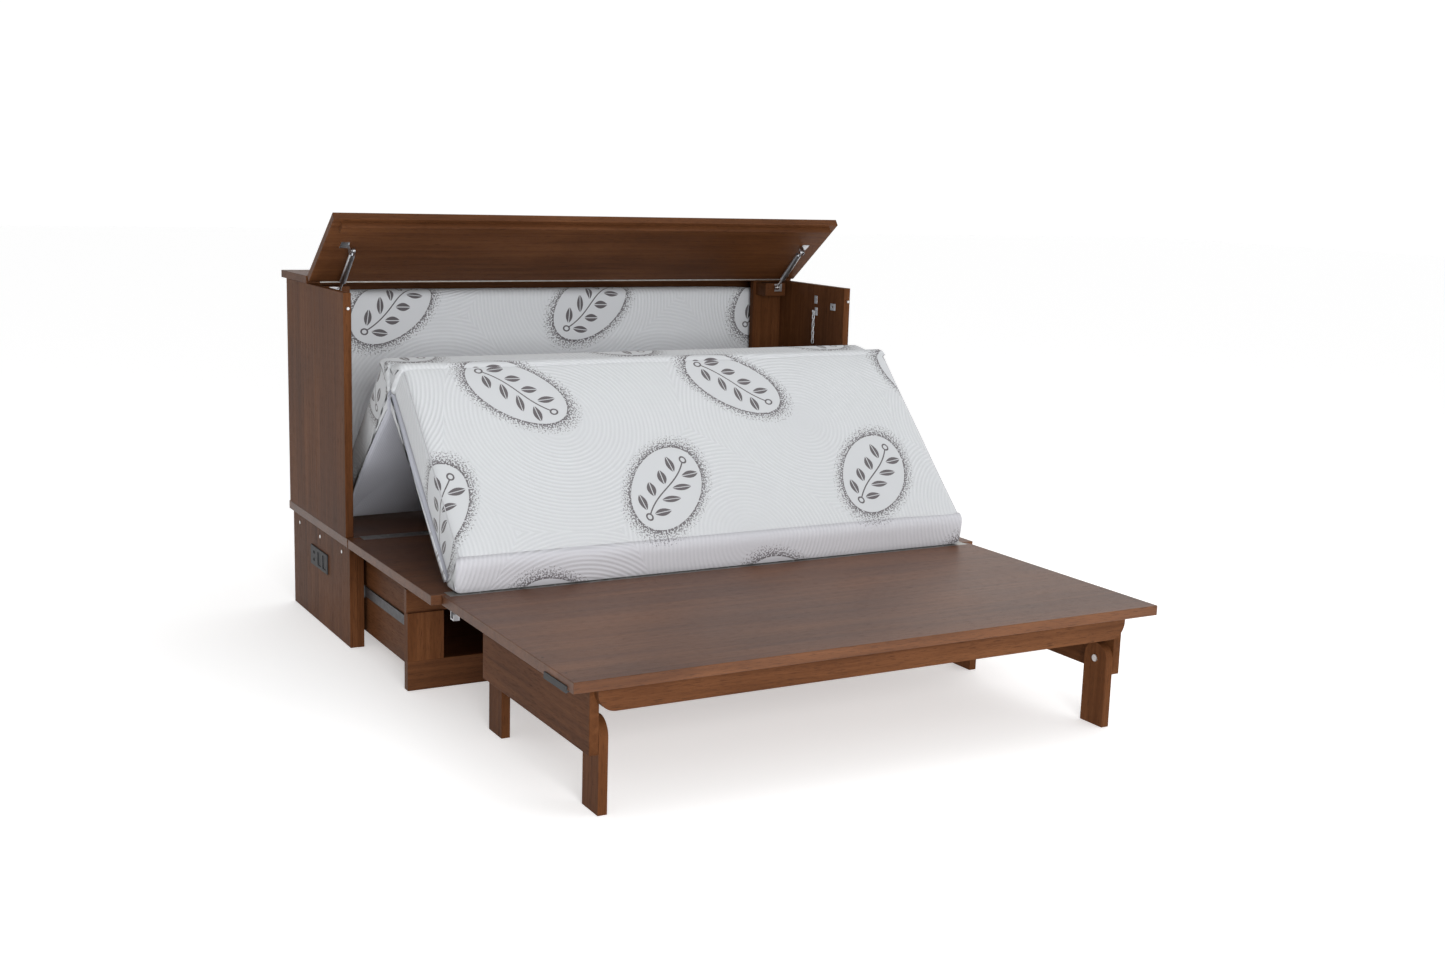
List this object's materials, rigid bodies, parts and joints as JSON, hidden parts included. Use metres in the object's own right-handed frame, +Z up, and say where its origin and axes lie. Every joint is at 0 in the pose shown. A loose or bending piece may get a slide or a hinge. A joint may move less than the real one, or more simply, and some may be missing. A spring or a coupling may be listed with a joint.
{
  "type": "cabinet wall bed",
  "caption": "Chest-style cabinet bed half opened: strutted lid, folding mattress, hinged platform boards on folding legs and a pull-out support drawer",
  "frame": {"origin": "on the floor under the middle of the footprint with the bed half opened", "axes": "+Z up, +Y towards the cabinet's back (the head), +X to the right when looking from the foot end"},
  "size_m": [1.64, 2.105, 1.2093],
  "materials": {
    "walnut_wood": "satin",
    "hinge_steel": "satin",
    "zinc_steel": "satin",
    "bright_screw": "polished",
    "black_plastic": "matte",
    "mattress_cloth": "matte",
    "strut_zinc": "satin"
  },
  "bodies": {
    "cabinet": {"base_back_rail": "walnut_wood", "base_front_rail": "walnut_wood", "base_liners": "walnut_wood", "base_screws": "bright_screw", "base_side_left": "walnut_wood", "base_side_right": "walnut_wood", "cabinet_back_panel": "walnut_wood", "cabinet_side_left": "walnut_wood", "cabinet_side_right": "walnut_wood", "catch_plate": "zinc_steel", "chain_plates": "zinc_steel", "charging_outlet": "black_plastic", "drawer_runners_fixed": "zinc_steel", "foot_hinge_pin": "hinge_steel", "foot_hinge_rear_leaf": "hinge_steel", "head_hinge_front_leaf": "hinge_steel", "head_hinge_pin": "hinge_steel", "head_hinge_rear_leaf": "hinge_steel", "head_platform": "walnut_wood", "lid_hinge_fixed_leaf": "hinge_steel", "lid_hinge_pin": "hinge_steel", "locating_dowels": "zinc_steel", "mattress_head": "mattress_cloth", "middle_platform": "walnut_wood", "platform_hinge_screws": "bright_screw", "rear_stiles": "walnut_wood", "strut_blocks": "walnut_wood", "strut_lower_brackets": "zinc_steel", "support_hooks": "zinc_steel", "top_rear_strip": "walnut_wood"},
    "lid": {"lid_panel": "walnut_wood", "lid_locating_rail": "walnut_wood", "lid_hinge_moving_leaf": "hinge_steel", "strut_upper_brackets": "zinc_steel"},
    "strut_rod_left": {"strut_rod_left": "strut_zinc"},
    "strut_rod_right": {"strut_rod_right": "strut_zinc"},
    "strut_cylinder_left": {"strut_cylinder_left": "strut_zinc"},
    "strut_cylinder_right": {"strut_cylinder_right": "strut_zinc"},
    "foot_section": {"foot_platform": "walnut_wood", "foot_hinge_front_leaf": "hinge_steel", "foot_hinge_screws": "bright_screw", "foot_skirts": "walnut_wood", "foot_apron": "walnut_wood", "finger_pulls": "black_plastic", "leg_pivot_bolts": "bright_screw"},
    "leg_front_left": {"leg_front_left": "walnut_wood"},
    "leg_front_right": {"leg_front_right": "walnut_wood"},
    "leg_rear_left": {"leg_rear_left": "walnut_wood"},
    "leg_rear_right": {"leg_rear_right": "walnut_wood"},
    "drawer": {"drawer_front_rail": "walnut_wood", "drawer_front_stiles": "walnut_wood", "drawer_top_board": "walnut_wood", "drawer_sides": "walnut_wood", "drawer_bottom": "walnut_wood", "drawer_back": "walnut_wood", "drawer_runners_moving": "zinc_steel"},
    "safety_chain": {"safety_chain": "zinc_steel"},
    "mattress_middle": {"mattress_middle": "mattress_cloth"},
    "mattress_foot": {"mattress_foot": "mattress_cloth"}
  },
  "joints": [
    {"name": "lid_hinge", "type": "hinge", "parent": "cabinet", "child": "lid", "pos_m": [0, 0.7795, 1.0235], "axis": [-1, 0, 0], "range_deg": [-36, 24]},
    {"name": "foot_fold", "type": "hinge", "parent": "cabinet", "child": "foot_section", "pos_m": [0, -0.2755, 0.317], "axis": [-1, 0, 0], "range_deg": [0, 55]},
    {"name": "mattress_middle_fold", "type": "hinge", "parent": "cabinet", "child": "mattress_middle", "pos_m": [0, 0.6505, 0.3205], "axis": [-1, 0, 0], "range_deg": [-45.1, 42.8]},
    {"name": "mattress_foot_fold", "type": "hinge", "parent": "mattress_middle", "child": "mattress_foot", "pos_m": [0, 0.213, 0.75981], "axis": [-1, 0, 0], "range_deg": [-86, 90.4]},
    {"name": "drawer_slide", "type": "slide", "parent": "cabinet", "child": "drawer", "axis": [0, 1, 0], "range_m": [0, 0.418]},
    {"name": "leg_front_left_fold", "type": "hinge", "parent": "foot_section", "child": "leg_front_left", "pos_m": [-0.699, -0.958, 0.172], "axis": [1, 0, 0], "range_deg": [0, 90]},
    {"name": "leg_front_right_fold", "type": "hinge", "parent": "foot_section", "child": "leg_front_right", "pos_m": [0.699, -0.958, 0.172], "axis": [1, 0, 0], "range_deg": [0, 90]},
    {"name": "leg_rear_left_fold", "type": "hinge", "parent": "foot_section", "child": "leg_rear_left", "pos_m": [-0.699, -0.4165, 0.172], "axis": [-1, 0, 0], "range_deg": [0, 90]},
    {"name": "leg_rear_right_fold", "type": "hinge", "parent": "foot_section", "child": "leg_rear_right", "pos_m": [0.699, -0.4165, 0.172], "axis": [-1, 0, 0], "range_deg": [0, 90]},
    {"name": "chain_swing", "type": "hinge", "parent": "cabinet", "child": "safety_chain", "pos_m": [0.787, 0.5805, 0.912], "axis": [1, 0, 0], "range_deg": [-25, 25]},
    {"name": "strut_turn_left", "type": "hinge", "parent": "cabinet", "child": "strut_rod_left", "pos_m": [-0.737, 0.7315, 0.979], "axis": [-1, 0, 0], "range_deg": [-39.7, 26.5]},
    {"name": "strut_stroke_left", "type": "slide", "parent": "strut_rod_left", "child": "strut_cylinder_left", "axis": [0, -0.7417, 0.6708], "range_m": [-0.0361, 0.0241]},
    {"name": "strut_turn_right", "type": "hinge", "parent": "cabinet", "child": "strut_rod_right", "pos_m": [0.737, 0.7315, 0.979], "axis": [-1, 0, 0], "range_deg": [-39.7, 26.5]},
    {"name": "strut_stroke_right", "type": "slide", "parent": "strut_rod_right", "child": "strut_cylinder_right", "axis": [0, -0.7417, 0.6708], "range_m": [-0.0361, 0.0241]}
  ],
  "couplings": [
    {"joint": "mattress_foot_fold", "follows": "mattress_middle_fold", "ratio": -2},
    {"joint": "strut_turn_left", "follows": "lid_hinge", "ratio": 1.1},
    {"joint": "strut_stroke_left", "follows": "lid_hinge", "m_per_rad": 0.057296},
    {"joint": "strut_turn_right", "follows": "lid_hinge", "ratio": 1.1},
    {"joint": "strut_stroke_right", "follows": "lid_hinge", "m_per_rad": 0.057296}
  ]
}
